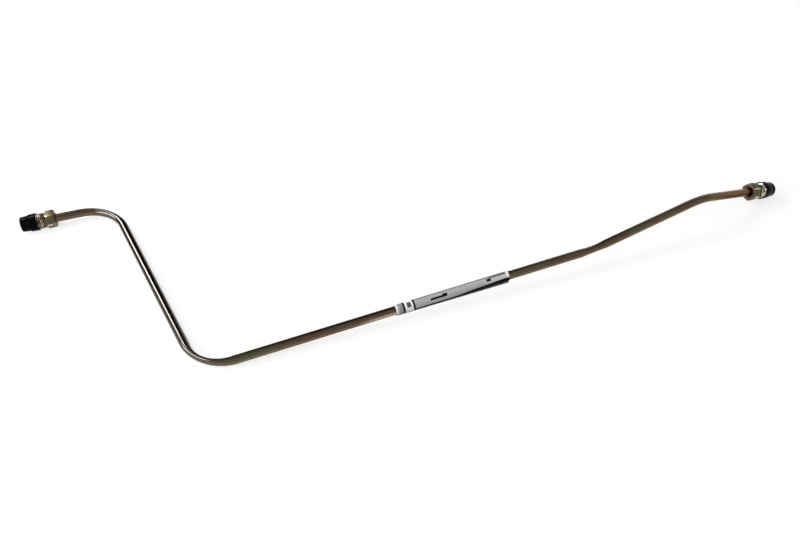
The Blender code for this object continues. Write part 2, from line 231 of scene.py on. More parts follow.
class CapSettings(bpy.types.PropertyGroup):
    wall: size_setting("Wall", "Wall thickness of the cap", 0.5 * MM)
    edge_round: size_setting("Edge round", "Rounding of the closed end", 0.5 * MM)
    rim_round: size_setting("Rim round", "Rounding of the rim", 0.15 * MM)
    dimple: size_setting("Gate mark", "Diameter of the mark in the closed end", 2.4 * MM)
    sides: IntProperty(name="Sides", description="Faces round the cap", default=96, min=12)
    colour: colour_setting("Colour", "Colour of the plastic", (0.0025, 0.0025, 0.0028))
    gloss: share_setting("Gloss", "How much light the surface throws back", 0.02)
    roughness: share_setting("Roughness", "Roughness of the plastic", 0.16)


class LabelSettings(bpy.types.PropertyGroup):
    rings: IntProperty(name="Rings", description="Rings along the label", default=90, min=4)
    sides: IntProperty(name="Sides", description="Faces round one turn", default=90, min=12)
    paper: colour_setting("Paper", "Colour of the plain field", (0.465, 0.455, 0.462))
    white: colour_setting("White", "Colour of the white fields", (0.900, 0.890, 0.910))
    # Black of the print, also used for the painted shadow along the label's lower side
    print_and_shadow: colour_setting("Ink", "Colour of the black print", (0.004, 0.003, 0.004))
    gloss: share_setting("Gloss", "How much light the surface throws back", 0.03)
    roughness: share_setting("Roughness", "Roughness of the film", 0.38)


class StageSettings(bpy.types.PropertyGroup):
    floor: colour_setting("Floor", "Colour that the light finds on the floor", (0.40, 0.40, 0.40))
    floor_white: share_setting("Floor white", "White that the floor adds as a backdrop", 0.69)
    front_level: share_setting("Front level", "Surroundings at the front right", 0.62, 10.0)
    back_level: share_setting("Back level", "Surroundings at the back left", 0.34, 10.0)
    high_level: share_setting("High level", "Radiance of the high softbox", 15.0, 100.0)
    low_level: share_setting("Low level", "Radiance of the low softbox", 8.0, 100.0)
    right_level: share_setting("Right level", "Radiance of the weak fill at the right", 0.5, 10.0)
    camera_height: size_setting("Camera height", "Height above the floor", 296.95 * MM)
    camera_lens: FloatProperty(name="Lens", description="Focal length on a 36 mm wide sensor",
                               default=31.41, min=1.0, subtype="DISTANCE_CAMERA")


GROUPS = {"pipe": PipeSettings, "nuts": NutSettings, "caps": CapSettings,
          "label": LabelSettings, "stage": StageSettings}


def settings(name):
    """The settings of one operator"""
    return getattr(bpy.context.scene, "brake_line_" + name)


class Nodes:
    """Adds nodes to a tree, each fed with values or with other nodes' outputs"""

    def __init__(self, tree):
        self.tree = tree

    def add(self, kind, **choices):
        node = self.tree.nodes.new(kind)
        for name, value in choices.items():
            setattr(node, name, value)
        return node

    def feed(self, socket, value):
        if isinstance(value, bpy.types.NodeSocket):
            self.tree.links.new(value, socket)
        else:
            socket.default_value = value

    def fill(self, node, **values):
        """Feeds a node's inputs by their names"""
        for name, value in values.items():
            self.feed(node.inputs[name.replace("_", " ")], value)

    def math(self, operation, *values):
        node = self.add("ShaderNodeMath", operation=operation)
        for socket, value in zip(node.inputs, values):
            self.feed(socket, value)
        return node.outputs[0]

    def vector(self, operation, *values):
        node = self.add("ShaderNodeVectorMath", operation=operation)
        for socket, value in zip(node.inputs, values):
            self.feed(socket, value)
        return node.outputs["Value" if operation == "DOT_PRODUCT" else "Vector"]

    def scaled(self, vector, factor):
        node = self.add("ShaderNodeVectorMath", operation="SCALE")
        self.feed(node.inputs[0], vector)
        self.feed(node.inputs["Scale"], factor)
        return node.outputs["Vector"]

    def distance(self, x, y):
        """How far a point is from the Z axis"""
        squares = [self.math("MULTIPLY", part, part) for part in (x, y)]
        return self.math("SQRT", self.math("ADD", *squares))

    def parts(self, vector):
        node = self.add("ShaderNodeSeparateXYZ")
        self.feed(node.inputs[0], vector)
        return node.outputs

    def joined(self, *parts):
        node = self.add("ShaderNodeCombineXYZ")
        for socket, value in zip(node.inputs, parts):
            self.feed(socket, value)
        return node.outputs[0]

    def ramp(self, value, low, high, first=0.0, last=1.0):
        """A smooth climb from first to last as the value goes from low to high"""
        node = self.add("ShaderNodeMapRange", interpolation_type="SMOOTHSTEP")
        for socket, number in zip(node.inputs, (value, low, high, first, last)):
            self.feed(socket, number)
        return node.outputs[0]

    def window(self, value, low, high, edge):
        """1 between low and high, falling to 0 over the width of an edge"""
        climb = self.ramp(value, low - edge / 2, low + edge / 2)
        fall = self.ramp(value, high - edge / 2, high + edge / 2, 1.0, 0.0)
        return self.math("MULTIPLY", climb, fall)

    def mix(self, share, first, second):
        node = self.add("ShaderNodeMix", data_type="RGBA")
        self.feed(node.inputs[0], share)
        for socket, colour in ((node.inputs[6], first), (node.inputs[7], second)):
            linked = isinstance(colour, bpy.types.NodeSocket)
            self.feed(socket, colour if linked else (*colour, 1.0))
        return node.outputs[2]

    def noise(self, vector, scale, detail=2.0):
        """Soft noise; on places in metres, the scale is the number of blotches in a metre"""
        node = self.add("ShaderNodeTexNoise")
        self.fill(node, Vector=vector, Scale=scale, Detail=detail)
        return node.outputs[0]

    def bump(self, height, distance):
        node = self.add("ShaderNodeBump")
        self.fill(node, Distance=distance, Height=height)
        return node.outputs[0]


def new_finish(name, metallic, roughness):
    """A Principled material, its node builder and its shader"""
    finish = bpy.data.materials.new(name)
    finish.use_nodes = True
    nodes = Nodes(finish.node_tree)
    shader = finish.node_tree.nodes["Principled BSDF"]
    nodes.fill(shader, Metallic=metallic, Roughness=roughness)
    return finish, nodes, shader


def shaded(colour, share):
    """A colour times a share"""
    return tuple(share * part for part in colour)


def new_tree(name, inputs):
    """An empty Geometry Nodes tree with named inputs, its node builder and its input node"""
    tree = bpy.data.node_groups.new(name, "GeometryNodeTree")
    tree.interface.new_socket("Geometry", in_out="OUTPUT", socket_type="NodeSocketGeometry")
    tree.interface.new_socket("Geometry", in_out="INPUT", socket_type="NodeSocketGeometry")
    for label, kind in inputs:
        tree.interface.new_socket(label, in_out="INPUT", socket_type="NodeSocket" + kind)
    nodes = Nodes(tree)
    return tree, nodes, nodes.add("NodeGroupInput").outputs


def close_tree(nodes, geometry, finish):
    """Ends a tree in real geometry that carries its material"""
    realized = nodes.add("GeometryNodeRealizeInstances")
    nodes.feed(realized.inputs[0], geometry)
    painted = nodes.add("GeometryNodeSetMaterial")
    nodes.fill(painted, Geometry=realized.outputs[0], Material=finish)
    nodes.feed(nodes.add("NodeGroupOutput").inputs[0], painted.outputs[0])


def grow(thing, tree, **values):
    """Adds a tree to an object as a modifier, with its inputs set by identifier"""
    modifier = thing.modifiers.new(tree.name, "NODES")
    modifier.node_group = tree
    wanted = {name.replace("_", " "): value for name, value in values.items()}
    for item in tree.interface.items_tree:
        if item.in_out == "INPUT" and item.name in wanted:
            modifier[item.identifier] = wanted.pop(item.name)
    if wanted:
        raise RuntimeError(f"{tree.name} has no input named {sorted(wanted)}")


def new_object(name, mesh):
    """A mesh object at the origin, in the scene"""
    thing = bpy.data.objects.new(name, mesh)
    bpy.context.scene.collection.objects.link(thing)
    return thing


def settled(source, name):
    """A plain object with a source's evaluated mesh; the source is removed"""
    bpy.context.view_layer.update()
    depsgraph = bpy.context.evaluated_depsgraph_get()
    mesh = bpy.data.meshes.new_from_object(source.evaluated_get(depsgraph), depsgraph=depsgraph)
    mesh.name = name
    bpy.data.objects.remove(source)
    return new_object(name, mesh)


def smooth(mesh, crease):
    """Smooth shading, with edges sharper than the crease angle kept sharp"""
    mesh.shade_smooth()
    mesh.set_sharp_from_angle(angle=math.radians(crease))


def vector_note(mesh, name, vectors):
    """Keeps a vector for each point of a mesh, for its material or its tree to read"""
    note = mesh.attributes.new(name, "FLOAT_VECTOR", "POINT")
    note.data.foreach_set("vector", [part for vector in vectors for part in vector])


def number_note(mesh, name, numbers):
    """Keeps a number for each point of a mesh, for its tree to read"""
    note = mesh.attributes.new(name, "FLOAT", "POINT")
    note.data.foreach_set("value", numbers)


def quarter_round(radius):
    """Cosine and sine offsets of a quarter round of this radius, from one side to the other"""
    angles = [math.pi / 2 * step / ROUND_STEPS for step in range(ROUND_STEPS + 1)]
    return [(radius * math.cos(angle), radius * math.sin(angle)) for angle in angles]


def ease(value):
    """A smooth step from 0 to 1"""
    value = min(max(value, 0.0), 1.0)
    return value * value * (3 - 2 * value)


def end_place(side):
    """The frame on an end of the pipe: Z outward along the leg, X as near up as can be"""
    joint = next(joint for joint in frame["joints"] if joint["name"] == side + "_nut_turn")
    outward = Vector(joint["axis"]).normalized()
    lift = outward.cross(UP).cross(outward).normalized()
    turn = Matrix((lift, outward.cross(lift), outward)).transposed().to_4x4()
    return Matrix.Translation(joint["pos_m"]) @ turn


def heights_of(node, place):
    """The lowest and highest point of a node along an end's outward direction"""
    inward = place.inverted()
    heights = [(inward @ vertex.co).z for vertex in frame["nodes"][node].data.vertices]
    return min(heights), max(heights)


class Ring:
    """A section of the pipe: its centre, the frame that carries it and how a bend deforms it"""

    def __init__(self, centre, turn, across=None, squeeze=0.0, swell=0.0):
        self.centre = centre
        self.turn = turn
        self.across = across or turn.col[1].copy()
        self.squeeze = squeeze
        self.swell = swell
        self.radius = settings("pipe").diameter / 2

    @property
    def heading(self):
        return self.turn.col[0]

    def at(self, radius, depth=0.0):
        """This section with another radius, a depth further along the heading"""
        share = self.radius / radius
        moved = Ring(self.centre + self.heading * depth, self.turn, self.across,
                     self.squeeze * share, self.swell * share)
        moved.radius = radius
        return moved


def walk_route():
    """The rings of the route, from the left end to the right end, and its corners"""
    turn = Matrix.Identity(3)
    bend_axis = UP.copy()
    corner = Vector((0.0, 0.0, 0.0))
    corners = [corner.copy()]
    rings = [Ring(corner.copy(), turn.copy())]
    for index, leg in enumerate(LEGS):
        heading = turn.col[0].copy()
        corner = corner + heading * leg
        corners.append(corner.copy())
        if index == len(BENDS):
            rings.append(Ring(corner.copy(), turn.copy()))
            break
        bend = math.radians(BENDS[index])
        radius = BEND_RADII[index]
        start = corner - heading * radius * math.tan(abs(bend) / 2)
        inward = bend_axis.cross(heading) * math.copysign(1.0, bend)
        centre = start + inward * radius
        steps = math.ceil(abs(bend) * radius / settings("pipe").ring_spacing)
        for step in range(steps + 1):
            share = step / steps
            swing = Matrix.Rotation(bend * share, 3, bend_axis)
            weight = math.sin(math.pi * share)
            rings.append(Ring(centre + swing @ (start - centre), swing @ turn,
                              (swing @ inward).normalized(),
                              FLATTENING[index] * weight, SWELLING[index] * weight))
        turn = Matrix.Rotation(bend, 3, bend_axis) @ turn
        if index < len(TWISTS):
            bend_axis = Matrix.Rotation(math.radians(TWISTS[index]), 3, turn.col[0]) @ bend_axis
    return rings, corners


def between(tip, other_tip, outward):
    """A frame on a tip: X toward the other tip, Y as near the outward direction as can be"""
    span = (other_tip - tip).normalized()
    side = (outward - span * outward.dot(span)).normalized()
    return Matrix((span, side, span.cross(side))).transposed().to_4x4()


def laid_route():
    """The route between the two ends that the frame gives"""
    rings, corners = walk_route()
    left, right = end_place("left"), end_place("right")
    drawn = between(rings[0].centre, rings[-1].centre, -rings[0].heading)
    real = between(left.translation, right.translation, left.to_3x3().col[2])
    move = Matrix.Translation(left.translation) @ real @ drawn.inverted()
    turn = move.to_3x3()
    for ring in rings:
        ring.centre = move @ ring.centre
        ring.turn = turn @ ring.turn
        ring.across = turn @ ring.across
    return rings, [move @ corner for corner in corners]


def flare_profile(pipe):
    """Radius and depth of the folded end, from the plain tube over the lip to the bore"""
    lip = FLARE_DIAMETER / 2
    seat = lip - FLARE_LIP_ROUND
    back = FLARE_LIP_DEPTH + FLARE_LAND
    bore = pipe.diameter / 2 - pipe.wall
    profile = [(pipe.diameter / 2, back + lip - pipe.diameter / 2), (lip, back)]
    for outward, rise in quarter_round(1.0):
        profile.append((seat + FLARE_LIP_ROUND * outward, FLARE_LIP_DEPTH * (1 - rise)))
    profile.append((bore, seat - bore))
    return profile


def pipe_rings(route, pipe):
    """Every section of the tube in order: the outside from left to right, then the bore back"""
    profile = flare_profile(pipe)
    rings = [route[0].at(radius, depth) for radius, depth in reversed(profile)]
    rings += [ring.at(pipe.diameter / 2) for ring in route[1:-1]]
    rings += [route[-1].at(radius, -depth) for radius, depth in profile]
    bore = pipe.diameter / 2 - pipe.wall
    rings += [ring.at(bore) for ring in reversed(route[1:-1:BORE_RING_STEP])]
    return rings


def tube_tree():
    """A closed tube from points that each hold a section, as a grid that is merged at its seams"""
    tree, nodes, given = new_tree("Ovalised tube", (("Sides", "Int"), ("Finish", "Material")))
    count = nodes.add("GeometryNodeAttributeDomainSize", component="MESH")
    nodes.feed(count.inputs[0], given["Geometry"])
    rings = count.outputs["Point Count"]
    grid = nodes.add("GeometryNodeMeshGrid")
    across = nodes.math("ADD", given["Sides"], 1.0)
    nodes.fill(grid, Vertices_X=nodes.math("ADD", rings, 1.0), Vertices_Y=across)
    index = nodes.add("GeometryNodeInputIndex").outputs[0]
    ring = nodes.math("MODULO", nodes.math("FLOOR", nodes.math("DIVIDE", index, across)), rings)
    turns = nodes.math("DIVIDE", nodes.math("MODULO", index, across), given["Sides"])

    def noted(name, kind):
        sample = nodes.add("GeometryNodeSampleIndex", data_type=kind, domain="POINT")
        note = nodes.add("GeometryNodeInputNamedAttribute", data_type=kind)
        nodes.fill(note, Name=name)
        nodes.fill(sample, Geometry=given["Geometry"], Value=note.outputs["Attribute"], Index=ring)
        return sample.outputs[0]

    angle = nodes.math("MULTIPLY", turns, 2 * math.pi)
    side = nodes.scaled(noted("normal_way", "FLOAT_VECTOR"), nodes.math("COSINE", angle))
    lift = nodes.scaled(noted("binormal_way", "FLOAT_VECTOR"), nodes.math("SINE", angle))
    arm = nodes.vector("ADD", side, lift)
    inward, axis = noted("across_way", "FLOAT_VECTOR"), noted("axis_way", "FLOAT_VECTOR")
    depth, width = (nodes.vector("DOT_PRODUCT", arm, way) for way in (inward, axis))
    squeezed = nodes.math("MULTIPLY", depth, noted("squeeze", "FLOAT"))
    swollen = nodes.math("MULTIPLY", width, noted("swell", "FLOAT"))
    arm = nodes.vector("SUBTRACT", arm, nodes.scaled(inward, squeezed))
    arm = nodes.vector("ADD", arm, nodes.scaled(axis, swollen))
    arm = nodes.scaled(arm, noted("radius", "FLOAT"))
    place = nodes.vector("ADD", noted("centre", "FLOAT_VECTOR"), arm)
    moved = nodes.add("GeometryNodeSetPosition")
    nodes.fill(moved, Geometry=grid.outputs["Mesh"], Position=place)
    settled_spot = nodes.add("GeometryNodeFieldOnDomain", data_type="FLOAT_VECTOR", domain="POINT")
    nodes.feed(settled_spot.inputs[0], nodes.joined(noted("along", "FLOAT"), turns, 0.0))
    mapped = nodes.add("GeometryNodeStoreNamedAttribute", data_type="FLOAT2", domain="CORNER")
    nodes.fill(mapped, Name="route", Geometry=moved.outputs[0], Value=settled_spot.outputs[0])
    merged = nodes.add("GeometryNodeMergeByDistance")
    nodes.fill(merged, Geometry=mapped.outputs[0], Distance=WELD_DISTANCE)
    close_tree(nodes, merged.outputs[0], given["Finish"])
    return tree


def tube_finish(pipe, length):
    """Steel with a thin brown film, olive in patches and rusty by the right nut

    A pale band on the underside beside the label is a painted reflection, the right arm is darker
    round its underside, and the falling leg's film is darker and more neutral as painted shade.
    """
    finish, nodes, shader = new_finish("chromated_tube", 1.0, pipe.roughness)
    spot = nodes.add("ShaderNodeTexCoord").outputs["Object"]
    route = nodes.parts(nodes.add("ShaderNodeUVMap", uv_map="route").outputs[0])
    cloud = nodes.math("SUBTRACT", nodes.noise(spot, 90.0, 3.0), 0.5)
    ragged = nodes.math("MULTIPLY", cloud, FILM_RAGGEDNESS)
    along = nodes.math("ADD", route["X"], ragged)
    olive = nodes.math("MULTIPLY", nodes.ramp(nodes.noise(spot, 45.0, 3.0), 0.54, 0.68), 0.6)
    for centre, reach, share in OLIVE_PATCHES:
        off = nodes.math("ABSOLUTE", nodes.math("SUBTRACT", along, centre * MM))
        patch = nodes.ramp(off, 0.4 * reach * MM, reach * MM, share, 0.0)
        olive = nodes.math("MAXIMUM", olive, patch)
    rust = nodes.ramp(along, length - RUST_START, length - RUST_FULL)
    colour = nodes.mix(olive, pipe.brown, pipe.olive)
    colour = nodes.mix(rust, colour, pipe.rust)
    # Darker round the underside of the right arm
    underside = nodes.math("MULTIPLY", rust, nodes.window(route["Y"], *DARK_UNDERSIDE_BAND))
    colour = nodes.mix(underside, colour, pipe.dark_underside)
    # Painted reflection: a pale band on the underside beside the label
    beside_label = nodes.window(route["X"], *PAINTED_SHEEN_STRETCH)
    painted_sheen = nodes.math("MULTIPLY", beside_label, nodes.window(route["Y"], *PAINTED_SHEEN_BAND))
    colour = nodes.mix(nodes.math("MULTIPLY", painted_sheen, PAINTED_SHEEN_SHARE), colour, pipe.painted_sheen)
    # Painted shade: the falling leg's film is darker and more neutral
    painted_shade_film = nodes.window(route["X"], *PAINTED_SHADE_STRETCH)
    colour = nodes.mix(painted_shade_film, colour, pipe.painted_shade_film)
    drawn = nodes.joined(nodes.math("MULTIPLY", route["X"], 12.0), route["Y"], 0.0)
    streaks = nodes.ramp(nodes.noise(drawn, 22.0, 3.0), 0.35, 0.70, 0.0, 0.35)
    colour = nodes.mix(streaks, colour, shaded(pipe.brown, 0.55))
    fine = nodes.noise(spot, 900.0, 3.0)
    dull = nodes.ramp(fine, 0.3, 0.7, pipe.roughness - 0.04, pipe.roughness + 0.06)
    waves = nodes.bump(nodes.noise(spot, 55.0), 0.12 * MM)
    nodes.fill(shader, Base_Color=colour, Roughness=dull, Normal=waves)
    return finish


def nut_profile(nut, back, front):
    """The nut before its flats are cut, as radius and height, with close rows along the thread"""
    blank = NUT_ACROSS_FLATS / math.sqrt(3) + NUT_BLANK_ALLOWANCE
    face = NUT_FACE_DIAMETER / 2
    bevel = (blank - face) * math.tan(math.radians(NUT_CHAMFER_ANGLE))
    hex_front = back + NUT_HEX_LENGTH
    neck = NUT_NECK_DIAMETER / 2
    crest = nut.crest_diameter / 2
    bore = settings("pipe").diameter / 2 + NUT_BORE_CLEARANCE
    mouth = NUT_MOUTH_DIAMETER / 2
    seat_foot = (FLARE_LIP_DEPTH + FLARE_LAND + FLARE_DIAMETER / 2 - bore
                 + NUT_BORE_CLEARANCE * math.sqrt(2))
    foot = hex_front + NUT_NECK_LENGTH
    rows = math.ceil((front - foot) / (nut.pitch / THREAD_ROWS_PER_PITCH))
    profile = [(mouth, front)]
    profile += [(crest, front - (front - foot) * row / rows) for row in range(rows + 1)]
    profile += [
        (neck, foot),
        (neck, hex_front),
        (face, hex_front),
        (blank, hex_front - bevel),
        (blank, back + bevel),
        (face, back),
        (bore + NUT_BORE_CHAMFER, back),
        (bore, back + NUT_BORE_CHAMFER),
        (bore, -seat_foot),
        (mouth, -seat_foot + mouth - bore),
    ]
    return profile


def turned(profile, sides, name, closed):
    """A solid of revolution about Z from (radius, height) points; a radius of 0 is a pole"""
    mesh = bpy.data.meshes.new(name)
    shape = bmesh.new()
    angles = [2 * math.pi * side / sides for side in range(sides)]
    circle = [(math.cos(angle), math.sin(angle)) for angle in angles]
    rows = []
    for radius, height in profile:
        if radius == 0:
            rows.append([shape.verts.new((0.0, 0.0, height))] * sides)
        else:
            rows.append([shape.verts.new((radius * x, radius * y, height)) for x, y in circle])
    pairs = list(zip(rows, rows[1:]))
    if closed:
        pairs.append((rows[-1], rows[0]))
    for row, after in pairs:
        for side in range(sides):
            other = (side + 1) % sides
            corners = (row[side], row[other], after[other], after[side])
            shape.faces.new(tuple(dict.fromkeys(corners)))
    bmesh.ops.recalc_face_normals(shape, faces=shape.faces)
    shape.to_mesh(mesh)
    shape.free()
    return mesh


def hexagon_bar(length, height):
    """The bar whose flats the nuts are cut from, with its middle at a height"""
    mesh = bpy.data.meshes.new("hexagon_bar")
    shape = bmesh.new()
    corner = NUT_ACROSS_FLATS / math.sqrt(3)
    bmesh.ops.create_cone(shape, cap_ends=True, segments=6, radius1=corner, radius2=corner,
                          depth=length)
    bmesh.ops.translate(shape, vec=(0.0, 0.0, height), verts=shape.verts)
    shape.to_mesh(mesh)
    shape.free()
    return new_object("hexagon_bar", mesh)


def thread_tree():
    """Cuts a right-hand thread into a plain shank that stands at the crest's radius"""
    sizes = [(name, "Float") for name in ("Pitch", "Crest", "Depth", "Foot", "Front", "Face")]
    tree, nodes, given = new_tree("Rolled thread", (*sizes, ("Finish", "Material")))
    x, y, height = nodes.parts(nodes.add("GeometryNodeInputPosition").outputs[0])
    radius = nodes.distance(x, y)
    turns = nodes.math("DIVIDE", nodes.math("ARCTAN2", y, x), 2 * math.pi)
    pitches = nodes.math("DIVIDE", height, given["Pitch"])
    phase = nodes.math("FRACT", nodes.math("SUBTRACT", pitches, turns))
    flank = nodes.math("ABSOLUTE", nodes.math("SUBTRACT", nodes.math("MULTIPLY", phase, 2.0), 1.0))
    groove = nodes.ramp(flank, THREAD_CREST_SHARE, THREAD_ROOT_SHARE, 1.0, 0.0)
    runout_end = nodes.math("ADD", given["Foot"], given["Pitch"])
    runout = nodes.ramp(height, given["Foot"], runout_end, 1.0, 0.0)
    depth = nodes.math("MULTIPLY", given["Depth"], nodes.math("MAXIMUM", groove, runout))
    cut = nodes.math("SUBTRACT", given["Crest"], depth)
    chamfer = nodes.math("ADD", given["Face"], nodes.math("SUBTRACT", given["Front"], height))
    cut = nodes.math("MINIMUM", cut, chamfer)
    change = nodes.math("DIVIDE", nodes.math("SUBTRACT", cut, radius), radius)
    outer = nodes.math("GREATER_THAN", radius, nodes.math("SUBTRACT", given["Crest"], HAIR))
    upper = nodes.math("GREATER_THAN", height, nodes.math("SUBTRACT", given["Foot"], HAIR))
    on_shank = nodes.math("MULTIPLY", outer, upper)
    moved = nodes.add("GeometryNodeSetPosition")
    offset = nodes.scaled(nodes.joined(x, y, 0.0), change)
    nodes.fill(moved, Geometry=given["Geometry"], Selection=on_shank, Offset=offset)
    close_tree(nodes, moved.outputs[0], given["Finish"])
    return tree


def fitted(piece, place):
    """Notes where each point is in a fitting's own frame, then lays the fitting in its place"""
    vector_note(piece.data, "own_spot", [vertex.co.copy() for vertex in piece.data.vertices])
    smooth(piece.data, crease=35.0)
    piece.data.transform(place)


def own_spot(nodes):
    """Where a point is in its fitting's own frame, in metres"""
    return nodes.add("ShaderNodeAttribute", attribute_name="own_spot").outputs["Vector"]


def nut_finish(nut):
    """Turned steel with a brown film, olive in patches; crests and corners lighter, partly real
    wear and partly painted highlights
    """
    finish, nodes, shader = new_finish("plated_nut", 1.0, nut.roughness)
    spot = own_spot(nodes)
    x, y, height = nodes.parts(spot)
    radius = nodes.distance(x, y)
    olive = nodes.ramp(nodes.noise(spot, 230.0), 0.50, 0.60)
    colour = nodes.mix(olive, nut.brown, nut.olive)
    crest = nut.crest_diameter / 2
    corner = NUT_ACROSS_FLATS / math.sqrt(3)
    # Lighter metal on the crests and corners: partly real wear, partly painted highlights
    crests = nodes.window(radius, crest - CREST_WEAR_AND_GLINT, crest + HAIR, 0.14 * MM)
    corners = nodes.ramp(radius, corner - CORNER_WEAR_AND_GLINT, corner - 0.10 * MM)
    patches = nodes.noise(nodes.vector("ADD", spot, (0.5, 0.2, 0.4)), 330.0)
    painted_sheen = nodes.ramp(patches, 0.45, 0.55)
    on_shank = nodes.ramp(height, *SHANK_START)
    worn_and_glint = nodes.math("MAXIMUM", nodes.math("MULTIPLY", crests, on_shank), corners)
    worn_and_glint = nodes.math("MULTIPLY", worn_and_glint, painted_sheen)
    colour = nodes.mix(worn_and_glint, colour, nut.worn_and_glint)
    marks = nodes.noise(nodes.joined(radius, 0.0, height), 6000.0)
    dull = nodes.ramp(marks, 0.3, 0.7, nut.roughness - 0.05, nut.roughness + 0.08)
    dull = nodes.ramp(worn_and_glint, 0.0, 1.0, dull, nut.shine)
    nodes.fill(shader, Base_Color=colour, Roughness=dull, Normal=nodes.bump(marks, 0.012 * MM))
    return finish


def cap_profile(cap, rim, tip):
    """The cap from the middle of its closed end, over the outside and the rim, to the inside"""
    shoulder_foot = rim + CAP_SKIRT_LENGTH
    shoulder_top = shoulder_foot + CAP_SHOULDER_LENGTH
    outside = CAP_RIM_DIAMETER / 2
    inside = outside - cap.wall
    nose, end = CAP_NOSE_DIAMETER / 2, CAP_TIP_DIAMETER / 2
    mark = cap.dimple / 2
    sunk = tip - CAP_MARK_DEPTH
    floor = sunk - cap.wall
    rounded = cap.edge_round
    profile = [(0, sunk), (mark - CAP_MARK_DEPTH, sunk), (mark, tip)]
    profile += [(end - rounded + outward, tip - rounded + rise)
                for rise, outward in quarter_round(rounded)]
    profile += [
        (nose, shoulder_top),
        (outside - CAP_SKIRT_TAPER, shoulder_foot),
        (outside, rim + cap.rim_round),
        (outside - cap.rim_round, rim),
        (inside + cap.rim_round, rim),
        (inside, rim + cap.rim_round),
        (inside, shoulder_foot),
        (nose - cap.wall, shoulder_top),
        (end - cap.wall, floor + rounded),
        (end - cap.wall - rounded, floor),
        (0, floor),
    ]
    return profile


def cap_finish(cap):
    """Glossy black plastic with faint flow marks"""
    finish, nodes, shader = new_finish("cap_plastic", 0.0, cap.roughness)
    nodes.fill(shader, Specular_IOR_Level=cap.gloss)
    spot = own_spot(nodes)
    cloud = nodes.noise(spot, 500.0, 3.0)
    colour = nodes.mix(cloud, shaded(cap.colour, 0.5), cap.colour)
    dull = nodes.ramp(cloud, 0.3, 0.7, cap.roughness - 0.05, cap.roughness + 0.05)
    grain = nodes.bump(nodes.noise(spot, 1500.0), 0.01 * MM)
    nodes.fill(shader, Base_Color=colour, Roughness=dull, Normal=grain)
    return finish


def label_section(share, sides):
    """The label's outline at a share of its length: its inside, then its outside back again

    A point is a radius, a direction round the leg from its right-hand side upwards, and its share
    of the way round from the inner edge to the free edge.
    """
    inner = settings("pipe").diameter / 2 + LABEL_CLEARANCE
    layer = LABEL_THICKNESS + LABEL_LAYER_GAP
    lift = LABEL_EDGE_LIFT * ease(share)
    steps = round(sides * LABEL_SWEEP / FULL_TURN)
    near, far = [], []
    for step in range(steps + 1):
        angle = LABEL_SWEEP * step / steps
        radius = inner + layer * ease((angle - (FULL_TURN - LABEL_CLIMB)) / LABEL_CLIMB)
        radius += lift * ease((angle - FULL_TURN) / LABEL_OVERLAP)
        direction = math.radians(angle - LABEL_SWEEP + LABEL_EDGE_DIRECTION)
        near.append((radius, direction, angle / LABEL_SWEEP))
        far.append((radius + LABEL_THICKNESS, direction, angle / LABEL_SWEEP))
    return near + far[::-1]


def label_mesh(label, length):
    """The wrapped label, with X along the leg and Z up, and its print's coordinates"""
    mesh = bpy.data.meshes.new("label_wrap")
    shape = bmesh.new()
    printed = shape.verts.layers.float_vector.new("print_spot")
    rows = []
    for ring in range(label.rings + 1):
        share = ring / label.rings
        row = []
        for radius, direction, wrap in label_section(share, label.sides):
            across, up = -radius * math.cos(direction), radius * math.sin(direction)
            vertex = shape.verts.new((length * share, across, up))
            vertex[printed] = (share, wrap, 0.0)
            row.append(vertex)
        rows.append(row)
    count = len(rows[0])
    for row, after in zip(rows, rows[1:]):
        for side in range(count):
            other = (side + 1) % count
            shape.faces.new((row[side], row[other], after[other], after[side]))
    for row in (rows[0], rows[-1]):
        for step in range(count // 2 - 1):
            facing = count - 1 - step
            shape.faces.new((row[step], row[step + 1], row[facing - 1], row[facing]))
    bmesh.ops.recalc_face_normals(shape, faces=shape.faces)
    shape.to_mesh(mesh)
    shape.free()
    return mesh


def label_finish(label, length):
    """Pale film with plain printed fields, placed by distance along and direction round the leg,
    and a black painted shadow along its lower side
    """
    finish, nodes, shader = new_finish("label_film", 0.0, label.roughness)
    nodes.fill(shader, Specular_IOR_Level=label.gloss)
    spot = nodes.add("ShaderNodeAttribute", attribute_name="print_spot").outputs["Vector"]
    share, wrap, _ = nodes.parts(spot)
    along = nodes.math("MULTIPLY", share, length / MM)
    # The turn that faces the viewer is the first one, which starts an overlap before the free edge
    start = LABEL_EDGE_DIRECTION - LABEL_OVERLAP
    direction = nodes.math("ADD", nodes.math("MULTIPLY", wrap, LABEL_SWEEP), start)

    def field(low, high, bottom, top, edge):
        across = nodes.window(along, low, high, edge)
        around = nodes.window(direction, bottom, top, edge * FIELD_EDGE_DEGREES_PER_MM)
        return nodes.math("MULTIPLY", across, around)

    colour = nodes.mix(nodes.noise(spot, 9.0), shaded(label.paper, 0.94), label.paper)
    for *place, tone in PRINTED_FIELDS:
        shade = label.white if tone is None else shaded(label.paper, tone)
        colour = nodes.mix(field(*place), colour, shade)
    # Painted shadow: black over the label's lower side, up to a top that climbs toward the right
    # end
    shadow_top = 0.0
    for rise in SHADOW_RISES:
        shadow_top = nodes.math("ADD", shadow_top, nodes.ramp(along, *rise))
    shadow_wedge = nodes.ramp(nodes.math("SUBTRACT", direction, shadow_top), -3.0, 3.0, 1.0, 0.0)
    print_and_shadow = nodes.math("MULTIPLY", shadow_wedge, nodes.ramp(along, *SHADOW_START))
    for place in INKED_FIELDS:
        print_and_shadow = nodes.math("MAXIMUM", print_and_shadow, field(*place))
    colour = nodes.mix(print_and_shadow, colour, label.print_and_shadow)
    creases = nodes.noise(nodes.add("ShaderNodeTexCoord").outputs["Object"], 260.0)
    nodes.fill(shader, Base_Color=colour, Normal=nodes.bump(creases, 0.05 * MM))
    return finish


class Builder:
    """What the operators share"""

    bl_options = {"REGISTER", "UNDO"}

    def execute(self, context):
        self.build()
        return {"FINISHED"}


